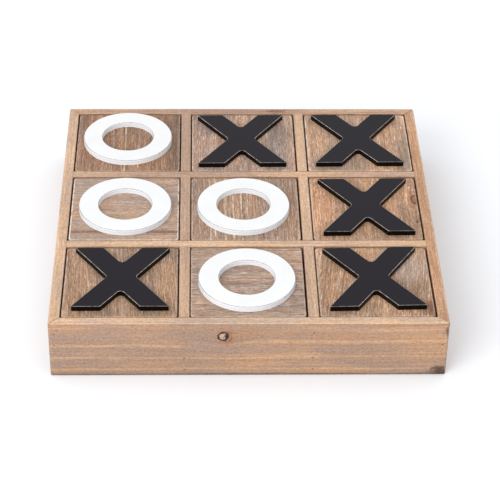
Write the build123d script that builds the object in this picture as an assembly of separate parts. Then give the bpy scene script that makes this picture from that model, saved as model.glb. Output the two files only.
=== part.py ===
from build123d import *
import math
import os

# A tabletop tic tac toe set. A mitred wooden tray is split into nine cells by four half-lapped
# dividers, and each cell holds a loose wooden block with an X or an O glued on top.
# The frame: origin under the centre of the tray, +X right, +Y to the back, +Z up. Millimetres.

# Tray
TRAY_SIDE = 304.8
TRAY_HEIGHT = 50.8
STOCK = 8.4                # thickness of the rails and of the dividers
BASE_THICKNESS = 12.0
CORNER_RADIUS = 1.6        # upright outer corners, sanded
ARRIS_RADIUS = 1.0         # every other edge that hands touch
MITRE_GAP = 0.1            # glue line across a mitre
LAP_CLEARANCE = 0.1        # on each side of a half-lap notch

# Blocks
BLOCK_SIDE = 88.9
BLOCK_THICKNESS = 38.1
BLOCK_CORNER_RADIUS = 3.0
BLOCK_ARRIS_RADIUS = 1.6

# Letters, cut from thin board
LETTER_THICKNESS = 4.5
LETTER_ARRIS_RADIUS = 0.6
O_DIAMETER = 75.8
O_HOLE_DIAMETER = 43.8
X_WIDTH = 75.6
X_HEIGHT = 75.4
X_ARM_END = 22.6           # width of an arm's square end
X_SIDE_ROOT = 11.4         # from the centre to the corner of a side notch, before its rounding
X_END_ROOT = 16.6          # the same for the notches at the top and the bottom of the letter
X_NOTCH_RADIUS = 3.0
X_CORNER_RADIUS = 0.6

# Brads: headed wire nails, punched just under the surface of the rails
BRAD_LENGTH = 25.0
BRAD_RADIUS = 0.6
BRAD_HEAD_RADIUS = 0.8
BRAD_HEAD_LENGTH = 0.8
BRAD_POINT_LENGTH = 1.5
BRAD_SUNK = 0.5
DIVIDER_BRAD_HEIGHTS = (17.0, 42.0)
CORNER_BRAD_HEIGHTS = (30.0, 41.0)

# Worked out from the above
HALF_SIDE = TRAY_SIDE / 2
INSIDE = TRAY_SIDE - 2 * STOCK
CELL = (INSIDE - 2 * STOCK) / 3
PITCH = CELL + STOCK                       # from one cell's centre to the next
DIVIDER_PLACE = PITCH / 2                  # from the tray's centre to a divider's middle
DIVIDER_HEIGHT = TRAY_HEIGHT - BASE_THICKNESS

ROWS = ("back", "middle", "front")
COLUMNS = ("left", "centre", "right")

# For each cell: the letter, how far its loose block sits from the middle of the cell (right, back),
# and how far the letter was glued from the middle of the block (right, back, turn in degrees).
GAME = {
    ("back", "left"): ("o", (0.0, 0.3), (-0.7, 2.5, 0.0)),
    ("back", "centre"): ("x", (-0.1, 0.3), (-1.5, -0.9, 0.6)),
    ("back", "right"): ("x", (0.1, 0.5), (-0.9, 0.0, 0.7)),
    ("middle", "left"): ("o", (0.1, 0.2), (0.1, 0.0, 0.0)),
    ("middle", "centre"): ("o", (-0.3, 0.2), (-1.4, -0.3, 0.0)),
    ("middle", "right"): ("x", (-0.2, 0.5), (0.3, -1.1, 0.8)),
    ("front", "left"): ("x", (0.0, 0.0), (0.4, 1.0, 0.1)),
    ("front", "centre"): ("o", (-0.4, 0.2), (-0.4, -0.5, 0.0)),
    ("front", "right"): ("x", (-0.3, 0.0), (-0.3, 1.1, 1.7)),
}

# The four outer faces: the turn that takes the left rail's place to each rail's place.
RAIL_TURNS = {"left_rail": 0, "front_rail": 90, "right_rail": 180, "back_rail": 270}
MITRE_NAILED = ("front_rail", "back_rail")

ON_FLOOR = (Align.CENTER, Align.CENTER, Align.MIN)


def long_edges(solid, axis, height):
    """The edges along an axis that lie at one height."""
    return solid.edges().filter_by(axis).filter_by_position(Axis.Z, height - 0.01, height + 0.01)


def brad(recess=0.0):
    """A brad along +X whose head is sunk from x = 0; recess lengthens the head back outwards."""
    head_start = BRAD_SUNK - recess
    shank_start = BRAD_SUNK + BRAD_HEAD_LENGTH
    shank_length = BRAD_LENGTH - BRAD_HEAD_LENGTH - BRAD_POINT_LENGTH
    head = Cylinder(BRAD_HEAD_RADIUS, shank_start - head_start, align=ON_FLOOR)
    shank = Cylinder(BRAD_RADIUS, shank_length, align=ON_FLOOR)
    point = Cone(BRAD_RADIUS, BRAD_RADIUS / 4, BRAD_POINT_LENGTH, align=ON_FLOOR)
    upright = Pos(0, 0, head_start) * head
    upright += Pos(0, 0, shank_start) * shank
    upright += Pos(0, 0, shank_start + shank_length) * point
    return Rot(0, 90, 0) * upright


def brad_places(turns, offsets, heights):
    """Where brads enter the outer faces, driven square to the face."""
    places = []
    for turn in turns:
        for offset in offsets:
            for height in heights:
                places.append(Rot(0, 0, turn) * Pos(-HALF_SIDE, offset, height))
    return places


def brads(places):
    return [place * brad() for place in places]


def drill(solid, places):
    """The solid with a hole for each brad, open to the surface over the sunk head."""
    hole = brad(recess=BRAD_SUNK + 1.0)
    for place in places:
        solid -= place * hole
    return solid


def rail_ring():
    """All four rails in one, before the mitre cuts."""
    ring = Box(TRAY_SIDE, TRAY_SIDE, TRAY_HEIGHT, align=ON_FLOOR)
    ring = fillet(ring.edges().filter_by(Axis.Z), CORNER_RADIUS)
    rim = ring.faces().sort_by(Axis.Z)[-1].edges()
    foot = ring.faces().sort_by(Axis.Z)[0].edges()
    ring = fillet(rim + foot, ARRIS_RADIUS)
    ring -= Box(INSIDE, INSIDE, TRAY_HEIGHT, align=ON_FLOOR)
    inner_rim = ring.faces().sort_by(Axis.Z)[-1].inner_wires()[0].edges()
    return fillet(inner_rim, ARRIS_RADIUS)


def rails(places):
    """The four rails by name: the drilled ring cut along its two diagonals."""
    ring = drill(rail_ring(), places)
    reach = TRAY_SIDE
    quarter = Polyline((0, 0), (-reach, reach), (-reach, -reach), close=True)
    wedge = Pos(-MITRE_GAP / math.sqrt(2), 0, 0) * extrude(make_face(quarter), TRAY_HEIGHT)
    return {name: ring & (Rot(0, 0, turn) * wedge) for name, turn in RAIL_TURNS.items()}


def base_panel(places):
    return drill(Box(INSIDE, INSIDE, BASE_THICKNESS, align=ON_FLOOR), places)


def divider_blank():
    """A divider along X standing on the base panel, its two top edges eased."""
    blank = Pos(0, 0, BASE_THICKNESS) * Box(INSIDE, STOCK, DIVIDER_HEIGHT, align=ON_FLOOR)
    return fillet(long_edges(blank, Axis.X, TRAY_HEIGHT), ARRIS_RADIUS)


def lap_notches(bottom):
    """The two half-height notches where the crossing dividers pass."""
    notch = Box(STOCK + 2 * LAP_CLEARANCE, 2 * STOCK, DIVIDER_HEIGHT / 2, align=ON_FLOOR)
    return [Pos(side * DIVIDER_PLACE, 0, bottom) * notch for side in (-1, 1)]


def dividers(places):
    """Two long dividers notched from below, and two cross dividers notched from above."""
    long_one = divider_blank() - lap_notches(BASE_THICKNESS)
    cross_one = Rot(0, 0, 90) * (divider_blank() - lap_notches(BASE_THICKNESS + DIVIDER_HEIGHT / 2))
    placed = {
        "long_divider_back": Pos(0, DIVIDER_PLACE, 0) * long_one,
        "long_divider_front": Pos(0, -DIVIDER_PLACE, 0) * long_one,
        "cross_divider_left": Pos(-DIVIDER_PLACE, 0, 0) * cross_one,
        "cross_divider_right": Pos(DIVIDER_PLACE, 0, 0) * cross_one,
    }
    return {name: drill(divider, places) for name, divider in placed.items()}


def block():
    """A solid wood block with sanded corners, standing on z = 0."""
    solid = Box(BLOCK_SIDE, BLOCK_SIDE, BLOCK_THICKNESS, align=ON_FLOOR)
    solid = fillet(solid.edges().filter_by(Axis.Z), BLOCK_CORNER_RADIUS)
    flats = solid.faces().sort_by(Axis.Z)
    return fillet(flats[0].edges() + flats[-1].edges(), BLOCK_ARRIS_RADIUS)


def ease_top(letter):
    top = letter.faces().sort_by(Axis.Z)[-1]
    return fillet(top.edges(), LETTER_ARRIS_RADIUS)


def letter_o():
    ring = Cylinder(O_DIAMETER / 2, LETTER_THICKNESS, align=ON_FLOOR)
    ring -= Cylinder(O_HOLE_DIAMETER / 2, LETTER_THICKNESS, align=ON_FLOOR)
    return ease_top(ring)


def letter_x():
    """Four arms with square ends; the notches between them are rounded at their roots."""
    half_width = X_WIDTH / 2
    half_height = X_HEIGHT / 2
    arm_inside = half_width - X_ARM_END
    half_outline = [
        (-half_width, half_height),
        (-arm_inside, half_height),
        (0, X_END_ROOT),
        (arm_inside, half_height),
        (half_width, half_height),
        (X_SIDE_ROOT, 0),
    ]
    outline = half_outline + [(-x, -y) for x, y in half_outline]
    slab = extrude(make_face(Polyline(*outline, close=True)), LETTER_THICKNESS)
    by_reach = slab.edges().filter_by(Axis.Z).sort_by_distance((0, 0, LETTER_THICKNESS / 2))
    slab = fillet(by_reach[:4], X_NOTCH_RADIUS)
    by_reach = slab.edges().filter_by(Axis.Z).sort_by_distance((0, 0, LETTER_THICKNESS / 2))
    slab = fillet(by_reach[-8:], X_CORNER_RADIUS)
    return ease_top(slab)


def blocks_and_letters():
    """Each cell's block and the letter on it, named by row and column."""
    letters = {"o": letter_o(), "x": letter_x()}
    pieces = {}
    for i, row in enumerate(ROWS):
        for j, column in enumerate(COLUMNS):
            kind, (sits_right, sits_back), (glued_right, glued_back, turn) = GAME[row, column]
            seat = Pos((j - 1) * PITCH + sits_right, (1 - i) * PITCH + sits_back, BASE_THICKNESS)
            glued = Pos(glued_right, glued_back, BLOCK_THICKNESS) * Rot(0, 0, turn)
            pieces[f"block_{row}_{column}"] = seat * block()
            pieces[f"letter_{kind}_{row}_{column}"] = seat * glued * letters[kind]
    return pieces


def tray():
    """The rails, base panel and dividers, with the brads that hold them."""
    beside = (-DIVIDER_PLACE, DIVIDER_PLACE)
    mitre = HALF_SIDE - STOCK / 2
    nailed_turns = [RAIL_TURNS[name] for name in MITRE_NAILED]
    divider_places = brad_places(RAIL_TURNS.values(), beside, DIVIDER_BRAD_HEIGHTS)
    base_places = brad_places(RAIL_TURNS.values(), beside, (BASE_THICKNESS / 2,))
    corner_places = brad_places(nailed_turns, (-mitre, mitre), CORNER_BRAD_HEIGHTS)
    pieces = rails(divider_places + base_places + corner_places)
    pieces["base_panel"] = base_panel(base_places)
    pieces.update(dividers(divider_places))
    pieces["divider_brads"] = Compound(children=brads(divider_places))
    pieces["base_brads"] = Compound(children=brads(base_places))
    pieces["corner_brads"] = Compound(children=brads(corner_places))
    return pieces


os.makedirs("parts", exist_ok=True)
for node, shape in {**tray(), **blocks_and_letters()}.items():
    export_step(shape, f"parts/{node}.step")
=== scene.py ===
import math

import bpy
from mathutils import Matrix, Vector


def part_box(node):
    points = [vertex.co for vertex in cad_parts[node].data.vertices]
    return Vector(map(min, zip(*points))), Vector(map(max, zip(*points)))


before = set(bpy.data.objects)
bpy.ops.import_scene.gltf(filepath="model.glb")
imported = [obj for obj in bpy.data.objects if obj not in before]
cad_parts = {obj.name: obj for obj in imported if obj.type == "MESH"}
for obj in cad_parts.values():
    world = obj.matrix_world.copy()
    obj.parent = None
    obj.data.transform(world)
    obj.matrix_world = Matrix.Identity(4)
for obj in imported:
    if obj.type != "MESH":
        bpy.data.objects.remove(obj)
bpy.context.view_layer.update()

# The set stands on z = 0 with its centre on the Z axis. The materials turn the frame's metres into
# millimetres, so every size in a material is in millimetres. Colours are linear.
MM = 0.001
ROWS = ("back", "middle", "front")
COLUMNS = ("left", "centre", "right")
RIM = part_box("front_rail")[1][2] / MM


# ---- Shader building -------------------------------------------------------------------------


class Shader:
    """One material's node tree. Each method adds a node and returns its output socket."""

    def __init__(self, name):
        self.material = bpy.data.materials.new(name)
        self.material.use_nodes = True
        self.nodes = self.material.node_tree.nodes
        self.links = self.material.node_tree.links
        self.nodes.clear()
        self.surface = self.nodes.new("ShaderNodeBsdfPrincipled")
        output = self.nodes.new("ShaderNodeOutputMaterial")
        self.links.new(self.surface.outputs["BSDF"], output.inputs["Surface"])

    def feed(self, socket, value):
        if isinstance(value, bpy.types.NodeSocket):
            self.links.new(value, socket)
        elif socket.type == "RGBA" and len(value) == 3:
            socket.default_value = (*value, 1.0)
        else:
            socket.default_value = value

    def math(self, operation, *values):
        node = self.nodes.new("ShaderNodeMath")
        node.operation = operation
        for socket, value in zip(node.inputs, values):
            self.feed(socket, value)
        return node.outputs[0]

    def add(self, *values):
        total = values[0]
        for value in values[1:]:
            total = self.math("ADD", total, value)
        return total

    def less(self, a, b):
        return self.math("SUBTRACT", a, b)

    def times(self, *values):
        product = values[0]
        for value in values[1:]:
            product = self.math("MULTIPLY", product, value)
        return product

    def over(self, a, b):
        return self.math("DIVIDE", a, b)

    def size(self, a):
        return self.math("ABSOLUTE", a)

    def distance(self, a, b):
        """How long the diagonal of two square offsets is."""
        return self.math("SQRT", self.add(self.times(a, a), self.times(b, b)))

    def vector(self, operation, *values):
        node = self.nodes.new("ShaderNodeVectorMath")
        node.operation = operation
        for socket, value in zip(node.inputs, values):
            self.feed(socket, value)
        return node.outputs["Vector"]

    def split(self, vector):
        node = self.nodes.new("ShaderNodeSeparateXYZ")
        self.feed(node.inputs[0], vector)
        return node.outputs

    def join(self, x, y, z):
        node = self.nodes.new("ShaderNodeCombineXYZ")
        for socket, value in zip(node.inputs, (x, y, z)):
            self.feed(socket, value)
        return node.outputs[0]

    def noise(self, place, per_mm, detail=2.0, roughness=0.55):
        """Noise from 0 to 1 with this many features a millimetre, the same all ways or along x, y, z."""
        if not isinstance(per_mm, tuple):
            per_mm = (per_mm, per_mm, per_mm)
        node = self.nodes.new("ShaderNodeTexNoise")
        self.feed(node.inputs["Vector"], self.vector("MULTIPLY", place, per_mm))
        node.inputs["Scale"].default_value = 1.0
        node.inputs["Detail"].default_value = detail
        node.inputs["Roughness"].default_value = roughness
        return node.outputs["Fac"]

    def random(self, value):
        """A number from 0 to 1 that belongs to each whole value."""
        node = self.nodes.new("ShaderNodeTexWhiteNoise")
        node.noise_dimensions = "1D"
        self.feed(node.inputs["W"], value)
        return node.outputs["Value"]

    def smooth(self, value, low, high, to_low=0.0, to_high=1.0):
        node = self.nodes.new("ShaderNodeMapRange")
        node.interpolation_type = "SMOOTHSTEP"
        for name, given in zip(("Value", "From Min", "From Max", "To Min", "To Max"),
                               (value, low, high, to_low, to_high)):
            self.feed(node.inputs[name], given)
        return node.outputs["Result"]

    def mix(self, factor, a, b, blend="MIX"):
        node = self.nodes.new("ShaderNodeMix")
        node.data_type = "RGBA"
        node.blend_type = blend
        colour_sockets = [socket for socket in node.inputs if socket.type == "RGBA"]
        self.feed(node.inputs["Factor"], factor)
        self.feed(colour_sockets[0], a)
        self.feed(colour_sockets[1], b)
        return [socket for socket in node.outputs if socket.type == "RGBA"][0]

    def shade(self, colour, tone):
        """The colour made lighter or darker by a tone around 1."""
        return self.mix(1.0, colour, self.join(tone, tone, tone), "MULTIPLY")

    def place(self):
        """Where the point is in the frame, in millimetres."""
        coordinates = self.nodes.new("ShaderNodeTexCoord")
        return self.vector("MULTIPLY", coordinates.outputs["Object"], (1 / MM, 1 / MM, 1 / MM))

    def normal(self):
        """The size of each part of the surface's own normal."""
        coordinates = self.nodes.new("ShaderNodeTexCoord")
        return self.split(self.vector("ABSOLUTE", coordinates.outputs["Normal"]))

    def finish(self, colour, roughness, height=None, relief_mm=0.1):
        self.feed(self.surface.inputs["Base Color"], colour)
        self.feed(self.surface.inputs["Roughness"], roughness)
        if height is not None:
            bump = self.nodes.new("ShaderNodeBump")
            bump.inputs["Strength"].default_value = 0.5
            bump.inputs["Distance"].default_value = relief_mm * MM
            self.feed(bump.inputs["Height"], height)
            self.links.new(bump.outputs["Normal"], self.surface.inputs["Normal"])
        return self.material


# ---- Wood ------------------------------------------------------------------------------------

# Which of x, y and z run along the grain, across it and through the board.
GRAIN_AXES = {"x": (0, 1, 2), "y": (1, 0, 2), "front": (0, 2, 1)}

# Stained softwood. The early wood takes the stain and turns grey brown, and the late wood stays
# pale and orange, so the growth lines are lighter than the ground.
# The sides tint darkens the side faces below the tops. It is painted shade, and on the blocks it is also a
# deeper stain.
BLOCK_STAIN = dict(ground=(0.355, 0.225, 0.150), dark=(0.265, 0.150, 0.090), late=(0.56, 0.385, 0.26),
                   fleck=(0.72, 0.58, 0.44), pore=(0.11, 0.052, 0.030), wash=(0.41, 0.325, 0.27),
                   amber=(0.42, 0.235, 0.115), worn=(0.74, 0.64, 0.54), sides=(0.62, 0.54, 0.50))
TRAY_STAIN = dict(ground=(0.56, 0.375, 0.255), dark=(0.47, 0.29, 0.18), late=(0.66, 0.47, 0.32),
                  fleck=(0.72, 0.58, 0.44), pore=(0.29, 0.16, 0.088), wash=(0.50, 0.365, 0.29),
                  amber=(0.62, 0.39, 0.21), worn=(0.72, 0.54, 0.38), sides=(0.68, 0.615, 0.575))

BARK = (0.045, 0.022, 0.012)
KNOT_RED = (0.22, 0.095, 0.048)
CREAM = (0.74, 0.60, 0.44)


def reach_of(shader, mark, along, across):
    """How far a point is from a mark's middle: 0 there and 1 at the mark's outline."""
    (u, v), (size_u, size_v) = mark["at"], mark["size"]
    return shader.distance(shader.over(shader.less(along, u), size_u),
                           shader.over(shader.less(across, v), size_v))


def parted_by(shader, knot, along, across):
    """How far the grain is pushed aside around a knot, in millimetres."""
    spread = 3.0
    wide = dict(knot, size=(spread * knot["size"][0] * 1.5, spread * knot["size"][1]))
    reach = reach_of(shader, wide, along, across)
    near = shader.math("EXPONENT", shader.times(reach, reach, -1.0))
    side = shader.over(shader.less(across, knot["at"][1]), spread * knot["size"][1])
    return shader.times(side, near, -1.6 * knot["push"])


def with_mark(shader, colour, mark, along, across, bent_across, ragged):
    """The colour with one knot, stain or streak laid over it. A streak can also be a painted shadow, like the
    front rail's contact shadow.
    """
    strength = mark.get("strength", 0.8)
    if mark["kind"] == "streak":
        off = shader.size(shader.less(bent_across, mark["across"]))
        line = shader.smooth(off, 0.0, mark["width"], strength, 0.0)
        unbroken = 1.0 - mark.get("broken", 1.0)
        line = shader.times(line, shader.smooth(ragged, 0.36, 0.54, unbroken, 1.0))
        if "span" in mark:
            start, end = mark["span"]
            fade = 0.15 * (end - start)
            line = shader.times(line, shader.smooth(along, start, start + fade),
                                shader.smooth(along, end, end - fade))
        return shader.mix(line, colour, mark["tint"])
    torn = shader.times(shader.less(ragged, 0.5), mark.get("ragged", 0.5))
    near = shader.add(reach_of(shader, mark, along, across), torn)
    if mark["kind"] == "stain":
        return shader.mix(shader.smooth(near, 0.3, 1.2, strength, 0.0), colour, mark["tint"])
    halo = shader.mix(shader.smooth(near, 0.9, 2.1, 0.75, 0.0), colour, mark["halo"])
    mottle = shader.noise(shader.join(along, across, 0.0), 0.9, 2.0, 0.6)
    heart = shader.mix(shader.smooth(mottle, 0.42, 0.56), mark["tint"], mark["heart"])
    knot = shader.mix(shader.smooth(near, 0.85, 1.0, strength, 0.0), halo, heart)
    bark = shader.times(shader.smooth(near, 0.7, 0.85), shader.smooth(near, 1.0, 1.2, 1.0, 0.0))
    return shader.mix(shader.times(bark, strength), knot, mark["bark"])


def toned(shader, colour, strands, tone):
    """The colour with pale and dark strands. Blue follows a strand most, so pale ones are greyer."""
    lift = shader.smooth(strands, 0.32, 0.68, -tone, tone)
    red = shader.add(1.0, shader.times(0.85, lift))
    green = shader.add(1.0, lift)
    blue = shader.add(1.0, shader.times(1.35, lift))
    return shader.mix(1.0, colour, shader.join(red, green, blue), "MULTIPLY")


def worn_and_shaded_arris(shader, colour, stain, patchy, wear):
    """Wear has taken the stain off the rounded edges, and a painted shade dims it on the edges that run from
    left to right.
    """
    nx, ny, nz = shader.normal()
    on_top = shader.times(shader.smooth(nz, 0.5, 0.8), shader.smooth(nz, 0.982, 0.998, 1.0, 0.0))
    level = shader.math("MAXIMUM", nx, ny)
    on_corner = shader.times(shader.smooth(nz, 0.1, 0.5, 1.0, 0.0),
                             shader.smooth(level, 0.85, 0.98, 0.4, 0.0))
    # Painted shade: the edges that run from left to right keep less of the pale wear than the edges that run
    # from front to back.
    front_back_edge_shade = shader.smooth(nx, 0.05, 0.2, 0.42, 1.0)
    off_floor = shader.smooth(shader.split(shader.place())[2], 2.0, 4.0)
    wear_and_painted_shading = shader.times(shader.add(on_top, on_corner), shader.smooth(patchy, 0.36, 0.58, 0.2, 1.0), front_back_edge_shade,
                          off_floor, wear)
    return shader.mix(wear_and_painted_shading, colour, stain["worn"])


def wood(name, stain, grain, seed, *, tint=(1.0, 1.0, 1.0), gap=4.0, shift=0.0, pith=(-55.0, -60.0),
         wander=4.0, late_width=0.16, late=0.5, fibres=1.0, flecks=0.4, pores=0.5, washed=0.3, clouds=0.12,
         dusty=0.19, wear=0.8, lean=0.0, marks=(), end_grain=False, mitred=False):
    """A sawn, brushed and stained softwood board.

    The growth rings are gap apart around the pith, which lies across and through the board from
    the frame's origin. late_width is the share of a ring that is late wood. end_grain keeps the
    marks off the sides.
    """
    shader = Shader(name)
    parts = shader.split(shader.place())
    along, across, depth = (parts[i] for i in GRAIN_AXES[grain])
    leaned = shader.add(across, shader.times(along, lean))
    here = shader.vector("ADD", shader.join(along, leaned, depth), (seed * 371.3, seed * 53.7, seed * 29.1))

    # The grain wanders, ripples and parts around knots.
    slow = shader.less(shader.noise(here, (0.006, 0.02, 0.02)), 0.5)
    ripple = shader.less(shader.noise(here, (0.025, 0.05, 0.05), 2.0), 0.5)
    bend = shader.add(shader.times(slow, 2 * wander), shader.times(ripple, 0.35 * wander))
    for mark in marks:
        if mark["kind"] == "knot":
            bend = shader.add(bend, parted_by(shader, mark, along, across))
    bent_across = shader.add(leaned, bend)
    bent = shader.vector("ADD", here, shader.join(0.0, bend, 0.0))

    ring = shader.distance(shader.less(bent_across, pith[0]), shader.less(depth, pith[1]))
    ring = shader.add(shader.over(ring, gap), shift)
    phase = shader.math("FRACT", ring)
    luck = shader.random(shader.math("FLOOR", ring))
    uneven = shader.smooth(luck, 0.0, 0.8, 0.35, 1.0)
    late_wood = shader.times(shader.smooth(phase, 0.5 - 2 * late_width, 0.5),
                             shader.smooth(phase, 0.5, 0.5 + late_width, 1.0, 0.0), uneven)
    ring_end = shader.times(shader.smooth(phase, 0.5, 0.5 + late_width),
                            shader.smooth(phase, 0.5 + late_width, 0.5 + 3 * late_width, 1.0, 0.0), uneven)

    fibre = shader.noise(bent, (0.03, 1.2, 1.2), 2.0, 0.6)
    dash = shader.noise(shader.vector("ADD", bent, (7.0, 61.0, 29.0)), (0.16, 1.7, 1.7), 1.0)
    hair = shader.noise(bent, (0.06, 3.3, 3.3), 2.0)
    dust = shader.noise(here, (0.45, 0.65, 0.65), 3.0, 0.8)
    broad = shader.noise(bent, (0.008, 0.4, 0.4), 2.0)
    warm = shader.noise(shader.vector("ADD", bent, (5.0, 43.0, 19.0)), (0.008, 0.2, 0.2), 2.0)
    fleck = shader.noise(shader.vector("ADD", bent, (47.0, 11.0, 83.0)), (0.12, 1.1, 1.1), 1.5)
    pore = shader.noise(shader.vector("ADD", bent, (91.0, 17.0, 5.0)), (0.25, 1.4, 1.4), 1.0)
    patch = shader.noise(here, (0.014, 0.035, 0.035), 3.0)
    ragged = shader.noise(here, (0.12, 0.3, 0.3), 4.0)

    colour = shader.mix(shader.smooth(broad, 0.32, 0.68), stain["ground"], stain["dark"])
    colour = shader.mix(shader.smooth(patch, 0.38, 0.62, 0.0, washed), colour, stain["wash"])
    colour = shader.mix(shader.smooth(warm, 0.45, 0.62, 0.0, 0.4), colour, stain["amber"])
    colour = shader.mix(shader.times(late_wood, shader.smooth(dash, 0.3, 0.55, 0.6, 1.0), late),
                        colour, stain["late"])
    colour = shader.mix(shader.times(ring_end, 0.4 * late), colour, stain["dark"])
    colour = shader.mix(shader.smooth(fleck, 0.56, 0.68, 0.0, flecks), colour, stain["fleck"])
    colour = shader.mix(shader.smooth(pore, 0.42, 0.32, 0.0, pores), colour, stain["pore"])
    colour = shader.shade(colour, shader.smooth(patch, 0.34, 0.66, 1.0 + clouds, 1.0 - clouds))
    # Painted shade: the side faces take the darker sides tint, and on the blocks a deeper stain as well.
    on_top = shader.smooth(shader.normal()[2], 0.5, 0.96)
    colour = shader.mix(1.0, colour, tint, "MULTIPLY")
    colour = shader.mix(1.0, colour, shader.mix(on_top, stain["sides"], (1.0, 1.0, 1.0)), "MULTIPLY")
    unmarked = colour
    for mark in marks:
        colour = with_mark(shader, colour, mark, along, across, bent_across, ragged)
    if end_grain:
        colour = shader.mix(on_top, unmarked, colour)
    for strands, tone in ((fibre, 0.22 * fibres), (dash, 0.18 * fibres), (hair, 0.16 * fibres),
                          (dust, dusty)):
        colour = toned(shader, colour, strands, tone)
    colour = worn_and_shaded_arris(shader, colour, stain, shader.noise(here, 0.16, 4.0), wear)
    if mitred:
        x, y, _ = shader.split(shader.place())
        off_mitre = shader.size(shader.less(shader.size(x), shader.size(y)))
        colour = shader.mix(shader.smooth(off_mitre, 0.1, 0.7, 0.4, 0.0), colour, BARK)

    height = shader.add(shader.times(fibre, 0.6), shader.times(dash, 0.4), shader.times(late_wood, 0.3))
    roughness = shader.smooth(fibre, 0.3, 0.7, 0.66, 0.5)
    shader.surface.inputs["Specular IOR Level"].default_value = 0.3
    return shader.finish(colour, roughness, height, relief_mm=0.1)


# ---- Painted letters and metal ---------------------------------------------------------------


LETTER_FOOT, LETTER_TOP = (corner[2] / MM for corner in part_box("letter_o_back_left"))
PLY_LINE = LETTER_FOOT + 0.55 * (LETTER_TOP - LETTER_FOOT)


def painted(name, paint, sides, arris_wear_and_shading_colour, *, wear_and_shading_amount, ends, unbroken, roughness, specular):
    """Painted plywood: fine orange peel, a line along the top arris, and one ply line in the sides.

    The arris line is worn paint together with painted light: a painted highlight on the black letters and a
    painted shade line on the white ones. The sides take a colour of their own, painted shade on the black
    letters and painted cool light on the white ones. ends is how much of the arris line shows on the arrises
    that run from left to right.
    """
    shader = Shader(name)
    here = shader.place()
    nx, _, nz = shader.normal()
    # The arris line: worn paint, with a painted highlight on the black letters and a painted shade line on
    # the white ones.
    arris = shader.times(shader.smooth(nz, 0.45, 0.7), shader.smooth(nz, 0.88, 0.99, 1.0, 0.0))
    patchy = shader.smooth(shader.noise(here, 0.4, 4.0, 0.65), 0.4, 0.58, unbroken, 1.0)
    wear_and_painted_shading = shader.times(arris, patchy, shader.smooth(nx, 0.1, 0.35, ends, 1.0), wear_and_shading_amount)
    peel = shader.noise(here, 1.4, 3.0, 0.6)
    cloud = shader.noise(here, 0.06, 3.0)
    speck = shader.smooth(shader.noise(here, 0.9, 3.0, 0.7), 0.62, 0.72, 1.0, 1.35)
    off_ply_line = shader.size(shader.less(shader.split(here)[2], PLY_LINE))
    plied = shader.shade(sides, shader.smooth(off_ply_line, 0.1, 0.4, 0.9, 1.0))
    # The sides' own colour stands for light: painted shade on the black letters and painted cool light on the
    # white ones.
    coat = shader.mix(shader.smooth(nz, 0.2, 0.7), plied, paint)
    colour = shader.shade(shader.shade(coat, shader.smooth(cloud, 0.35, 0.65, 1.0, 0.97)), speck)
    colour = shader.mix(wear_and_painted_shading, colour, arris_wear_and_shading_colour)
    rough = shader.add(shader.smooth(peel, 0.3, 0.7, roughness - 0.05, roughness + 0.07),
                       shader.times(wear_and_painted_shading, 0.25))
    shader.surface.inputs["Specular IOR Level"].default_value = specular
    return shader.finish(colour, rough, peel, relief_mm=0.04)


def wire_steel():
    """Drawn wire brads, dulled by the stain that ran over them."""
    shader = Shader("wire_steel")
    dull = shader.noise(shader.place(), 2.2, 3.0)
    colour = shader.mix(shader.smooth(dull, 0.35, 0.65), (0.30, 0.25, 0.21), (0.15, 0.115, 0.09))
    shader.surface.inputs["Metallic"].default_value = 0.6
    return shader.finish(colour, shader.smooth(dull, 0.3, 0.7, 0.4, 0.65), dull, relief_mm=0.05)


def dress(node, material):
    """Gives a CAD node its finished material."""
    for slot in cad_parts[node].material_slots:
        slot.material = material


# ---- The tray --------------------------------------------------------------------------------

front_knot = dict(kind="knot", at=(-19.6, 38.4), size=(4.0, 4.2), push=5.5, ragged=0.85, strength=0.98,
                  tint=(0.50, 0.40, 0.32), heart=(0.30, 0.20, 0.15), bark=(0.030, 0.010, 0.006),
                  halo=(0.35, 0.175, 0.095))
knot_side = dict(kind="stain", at=(-17.2, 38.5), size=(1.9, 3.6), ragged=0.5, strength=1.0,
                 tint=(0.025, 0.008, 0.005))
knot_collar = dict(kind="knot", at=(-17.4, 38.3), size=(4.4, 4.8), push=0.0, ragged=0.9, strength=0.65,
                   tint=(0.40, 0.21, 0.115), heart=(0.31, 0.135, 0.065), bark=(0.10, 0.035, 0.019),
                   halo=(0.33, 0.15, 0.075))
knot_tail = dict(kind="stain", at=(-3.0, 39.3), size=(17.0, 2.2), ragged=0.8, strength=0.75,
                 tint=(0.38, 0.19, 0.09))
knot_shade = dict(kind="stain", at=(-29.0, 29.0), size=(22.0, 9.0), ragged=0.8, strength=0.35,
                  tint=(0.30, 0.21, 0.17))
# Painted contact shadow: a dark band along the foot of the front rail's face.
front_contact_shadow = dict(kind="streak", across=0.0, width=3.4, broken=0.35, strength=0.95, tint=(0.10, 0.062, 0.048))
front_foot = dict(kind="stain", at=(-120.0, -2.0), size=(90.0, 20.0), strength=0.5, tint=(0.25, 0.17, 0.125))
front_brow = dict(kind="stain", at=(-42.0, 46.0), size=(48.0, 15.0), strength=0.2, tint=(0.30, 0.185, 0.12))
corner_bark = dict(kind="stain", at=(148.0, 3.5), size=(9.0, 7.0), ragged=2.6, strength=0.85, tint=BARK)
corner_smudge = dict(kind="stain", at=(151.5, 43.0), size=(2.2, 7.0), ragged=1.2, strength=0.7, tint=BARK)
back_knot = dict(kind="stain", at=(30.0, 148.0), size=(10.0, 4.0), ragged=1.6, strength=0.8, tint=KNOT_RED)
back_dusk = dict(kind="stain", at=(-8.0, 148.0), size=(90.0, 30.0), strength=0.8, tint=(0.32, 0.20, 0.14))
divider_dusk = dict(kind="stain", at=(-50.0, 49.4), size=(75.0, 30.0), strength=0.65, tint=(0.34, 0.22, 0.16))
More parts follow.
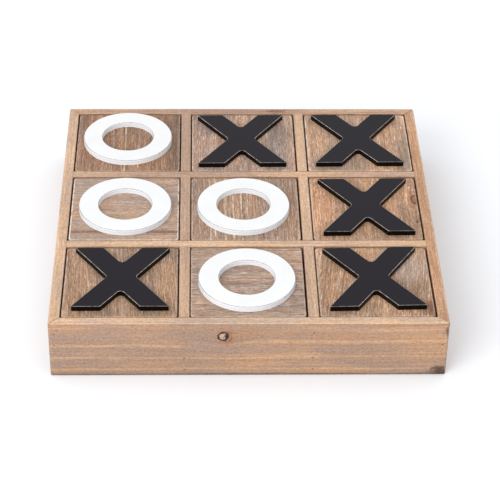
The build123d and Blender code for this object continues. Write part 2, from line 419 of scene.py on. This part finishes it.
left_dusk = dict(kind="stain", at=(110.0, -49.4), size=(110.0, 30.0), strength=0.6, tint=(0.34, 0.225, 0.165))
right_red = dict(kind="stain", at=(0.0, 143.0), size=(600.0, 13.0), strength=0.5, tint=(0.32, 0.14, 0.06))
right_dusk = dict(kind="stain", at=(-5.0, 148.0), size=(40.0, 30.0), strength=0.35, tint=(0.38, 0.22, 0.13))

# The orange growth lines along the front rail: height, width, and where each starts and ends.
front_lines = [dict(kind="streak", across=height, width=width, span=(start, end), broken=0.6, strength=0.42,
                    tint=(0.62, 0.37, 0.19))
               for height, width, start, end in ((29.3, 2.4, -175.0, -40.0), (17.8, 1.7, -175.0, 30.0),
                                                 (6.5, 1.8, -200.0, 200.0), (34.0, 3.0, -20.0, 175.0),
                                                 (19.7, 1.6, -10.0, 200.0), (45.0, 1.8, 90.0, 180.0))]

rail_looks = {
    "front_rail": dict(grain="front", seed=1.7, gap=11.6, shift=0.233, wander=3.0, pith=(-600.0, 0.0),
                       late_width=0.1, late=0.25, fibres=0.25, flecks=0.1, pores=0.15, washed=0.9, wear=0.8,
                       marks=(front_foot, front_brow, knot_shade, *front_lines, front_contact_shadow, knot_collar,
                              knot_tail, front_knot, knot_side, corner_bark, corner_smudge)),
    "back_rail": dict(grain="x", seed=2.9, tint=(0.83, 0.77, 0.76), pith=(90.0, -60.0),
                      marks=(back_dusk, back_knot)),
    "left_rail": dict(grain="y", seed=4.3, tint=(0.96, 0.95, 0.95), gap=5.0, pith=(-80.0, -90.0), late=0.3),
    "right_rail": dict(grain="y", seed=6.1, tint=(0.97, 0.92, 0.87), pith=(190.0, -90.0), late=0.9,
                       fibres=0.8, marks=(right_red, right_dusk)),
}
for rail, look in rail_looks.items():
    dress(rail, wood(rail, TRAY_STAIN, mitred=True,
                     **{"wear": 0.4, "fibres": 0.55, "flecks": 0.2, "pores": 0.25, **look}))

divider_looks = {
    "long_divider_back": dict(grain="x", seed=7.7, tint=(0.93, 0.91, 0.92), marks=(divider_dusk,)),
    "long_divider_front": dict(grain="x", seed=9.4, tint=(1.04, 1.04, 1.04)),
    "cross_divider_left": dict(grain="y", seed=11.2, tint=(0.83, 0.82, 0.85), marks=(left_dusk,)),
    "cross_divider_right": dict(grain="y", seed=12.8, tint=(0.95, 0.95, 0.95)),
}
for divider, look in divider_looks.items():
    dress(divider, wood(divider, TRAY_STAIN, gap=5.5, pith=(30.0, -70.0), late=0.3, fibres=0.5, flecks=0.15,
                        pores=0.2, clouds=0.07, wear=0.1, **look))

dress("base_panel", wood("base_panel", TRAY_STAIN, "x", 14.5, gap=14.0, pith=(40.0, 260.0), wander=22.0,
                         fibres=0.5, wear=0.2))

steel = wire_steel()
for group in ("divider_brads", "base_brads", "corner_brads"):
    dress(group, steel)


# ---- The blocks ------------------------------------------------------------------------------

# across is a place across the grain from the block's middle, and at is a place along and across it.
DARK_LINE = dict(kind="streak", width=1.5, strength=0.9, tint=(0.17, 0.080, 0.050))
CREAM_LINE = dict(kind="streak", width=1.1, strength=0.6, tint=CREAM)

block_looks = {
    ("back", "left"): dict(grain="y", tint=(0.76, 0.67, 0.62), late=0.28,
                           marks=(dict(CREAM_LINE, across=-3.0, broken=0.5),
                                  dict(CREAM_LINE, across=-14.0, width=0.7, strength=0.4))),
    ("back", "centre"): dict(grain="y", tint=(0.94, 0.98, 1.10), late=0.28, washed=0.6, clouds=0.36,
                             marks=(dict(DARK_LINE, across=-38.0, width=0.7, strength=0.5),
                                    dict(kind="stain", at=(13.0, 20.5), size=(5.0, 0.8), tint=CREAM))),
    ("back", "right"): dict(grain="y", fibres=0.8, wear=0.75, tint=(1.13, 1.11, 1.11), late=0.28, washed=0.4),
    ("middle", "left"): dict(grain="x", fibres=0.55, wear=1.0, tint=(1.11, 1.18, 1.29), late=0.16,
                             flecks=0.17, washed=0.4, clouds=0.16,
                             marks=(dict(DARK_LINE, across=-33.0, width=3.2, broken=0.3),)),
    ("middle", "centre"): dict(grain="y", tint=(0.92, 0.92, 0.97), late=0.44, flecks=0.32, clouds=0.14,
                               marks=[dict(CREAM_LINE, across=x) for x in (-28.0, -24.0, -16.0, -9.3, -2.7)]),
    ("middle", "right"): dict(grain="y", tint=(1.21, 1.08, 0.97), late=0.4,
                              marks=(dict(kind="knot", at=(12.0, 42.3), size=(6.0, 3.4), push=5.0,
                                          tint=KNOT_RED, heart=(0.30, 0.14, 0.075),
                                          bark=(0.085, 0.032, 0.018), halo=(0.34, 0.155, 0.085)),
                                     dict(kind="stain", at=(-19.3, 41.6), size=(2.8, 1.2), tint=BARK))),
    ("front", "left"): dict(grain="y", tint=(0.85, 0.83, 0.81), late=0.4, lean=0.06, flecks=0.35),
    ("front", "centre"): dict(grain="x", tint=(1.00, 1.07, 1.20), late=0.28, flecks=0.36, clouds=0.16),
    ("front", "right"): dict(grain="y", tint=(1.04, 0.99, 0.92), late=0.32, lean=-0.12, flecks=0.39,
                             marks=(dict(kind="stain", at=(22.0, 30.0), size=(26.0, 17.0), strength=0.45,
                                         tint=(0.56, 0.43, 0.36)),
                                    dict(kind="stain", at=(-35.0, 43.0), size=(13.0, 8.0), ragged=1.2,
                                         strength=0.95, tint=(0.15, 0.06, 0.035)),
                                    *(dict(DARK_LINE, across=x, width=1.3, broken=0.8, strength=0.55)
                                      for x in (-38.0, -34.0, -29.5, -24.0)))),
}


def moved(mark, along, across):
    """A block's mark put where the block is."""
    if "across" in mark:
        return dict(mark, across=mark["across"] + across)
    return dict(mark, at=(mark["at"][0] + along, mark["at"][1] + across))


def block_wood(row, column, seed, look):
    name = f"block_{row}_{column}"
    low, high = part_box(name)
    middle = [(a + b) / 2 / MM for a, b in zip(low, high)]
    along, across = (middle[i] for i in GRAIN_AXES[look["grain"]][:2])
    leaned = across + along * look.get("lean", 0.0)
    marks = [moved(mark, along, leaned if "across" in mark else across) for mark in look.get("marks", ())]
    look = dict(look, marks=marks)
    return wood(name, BLOCK_STAIN, seed=seed, gap=3.4, pith=(leaned - 55.0, -60.0), wander=2.6, dusty=0.18,
                end_grain=True, **{"wear": 0.35, "clouds": 0.28, **look})


for i, row in enumerate(ROWS):
    for j, column in enumerate(COLUMNS):
        look = block_looks[row, column]
        dress(f"block_{row}_{column}", block_wood(row, column, 20.0 + 3.3 * i + 1.1 * j, look))


# ---- The letters -----------------------------------------------------------------------------

# Each paint gives the tops' colour, then the sides' colour, then the arris line's colour. The black sides are
# painted shade and the white sides painted cool light. The arris lines are wear with a painted highlight on
# black and a painted shade line on white.
black = painted("black_paint", (0.0054, 0.0034, 0.0068), (0.0008, 0.0005, 0.0006), (0.60, 0.51, 0.44),
                wear_and_shading_amount=0.85, ends=0.5, unbroken=0.4, roughness=0.4, specular=0.15)
white = painted("white_paint", (0.745, 0.74, 0.735), (0.77, 0.785, 0.815), (0.115, 0.112, 0.125),
                wear_and_shading_amount=0.95, ends=1.0, unbroken=0.7, roughness=0.4, specular=0.3)
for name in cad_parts:
    if name.startswith("letter_x"):
        dress(name, black)
    if name.startswith("letter_o"):
        dress(name, white)


# ---- Floor, light and camera -----------------------------------------------------------------


def floor():
    """A plain white floor, wide enough to meet the white surroundings."""
    mesh = bpy.data.meshes.new("floor")
    reach = 12.0
    mesh.from_pydata([(-reach, -reach, 0), (reach, -reach, 0), (reach, reach, 0), (-reach, reach, 0)], [],
                     [(0, 1, 2, 3)])
    plane = bpy.data.objects.new("floor", mesh)
    bpy.context.collection.objects.link(plane)
    shader = Shader("floor_white")
    shader.surface.inputs["Specular IOR Level"].default_value = 0.1
    mesh.materials.append(shader.finish((0.845, 0.855, 0.875), 0.9))


def soft_light(name, place, size, watts, colour):
    """A square soft box that faces the middle of the set."""
    light = bpy.data.lights.new(name, "AREA")
    light.size = size
    light.energy = watts
    light.color = colour
    box = bpy.data.objects.new(name, light)
    box.location = place
    facing = Vector((0, 0, RIM * MM)) - Vector(place)
    box.rotation_euler = facing.to_track_quat("-Z", "Y").to_euler()
    bpy.context.collection.objects.link(box)


def surroundings(colour, strength):
    world = bpy.data.worlds.new("surroundings")
    world.use_nodes = True
    background = world.node_tree.nodes["Background"]
    background.inputs["Color"].default_value = (*colour, 1.0)
    background.inputs["Strength"].default_value = strength
    bpy.context.scene.world = world


def camera(aim, distance, azimuth, elevation, roll, lens):
    """A camera that looks at aim. Azimuth turns from +Y to +X, and roll tips the camera to the left."""
    turn, rise, tip = (math.radians(angle) for angle in (azimuth, elevation, roll))
    ahead = Vector((math.sin(turn) * math.cos(rise), math.cos(turn) * math.cos(rise), -math.sin(rise)))
    level = Vector((math.cos(turn), -math.sin(turn), 0))
    upright = level.cross(ahead)
    right = level * math.cos(tip) + upright * math.sin(tip)
    up = upright * math.cos(tip) - level * math.sin(tip)
    data = bpy.data.cameras.new("camera")
    data.lens = lens
    data.sensor_width = 36
    data.clip_end = 100
    eye = bpy.data.objects.new("camera", data)
    turned = Matrix((right, up, -ahead)).transposed().to_4x4()
    eye.matrix_world = Matrix.Translation(Vector(aim) - ahead * distance) @ turned
    bpy.context.collection.objects.link(eye)
    bpy.context.scene.camera = eye


floor()
surroundings((0.975, 0.985, 1.0), 1.09)
soft_light("key_light", (-1.25, -1.70, 1.25), 1.6, 34.5, (0.965, 0.985, 1.0))
camera(aim=(0.0025, -0.0586, RIM * MM), distance=1.472, azimuth=1.895, elevation=36.51, roll=1.07,
       lens=132.99)
bpy.context.scene.view_settings.view_transform = "Standard"
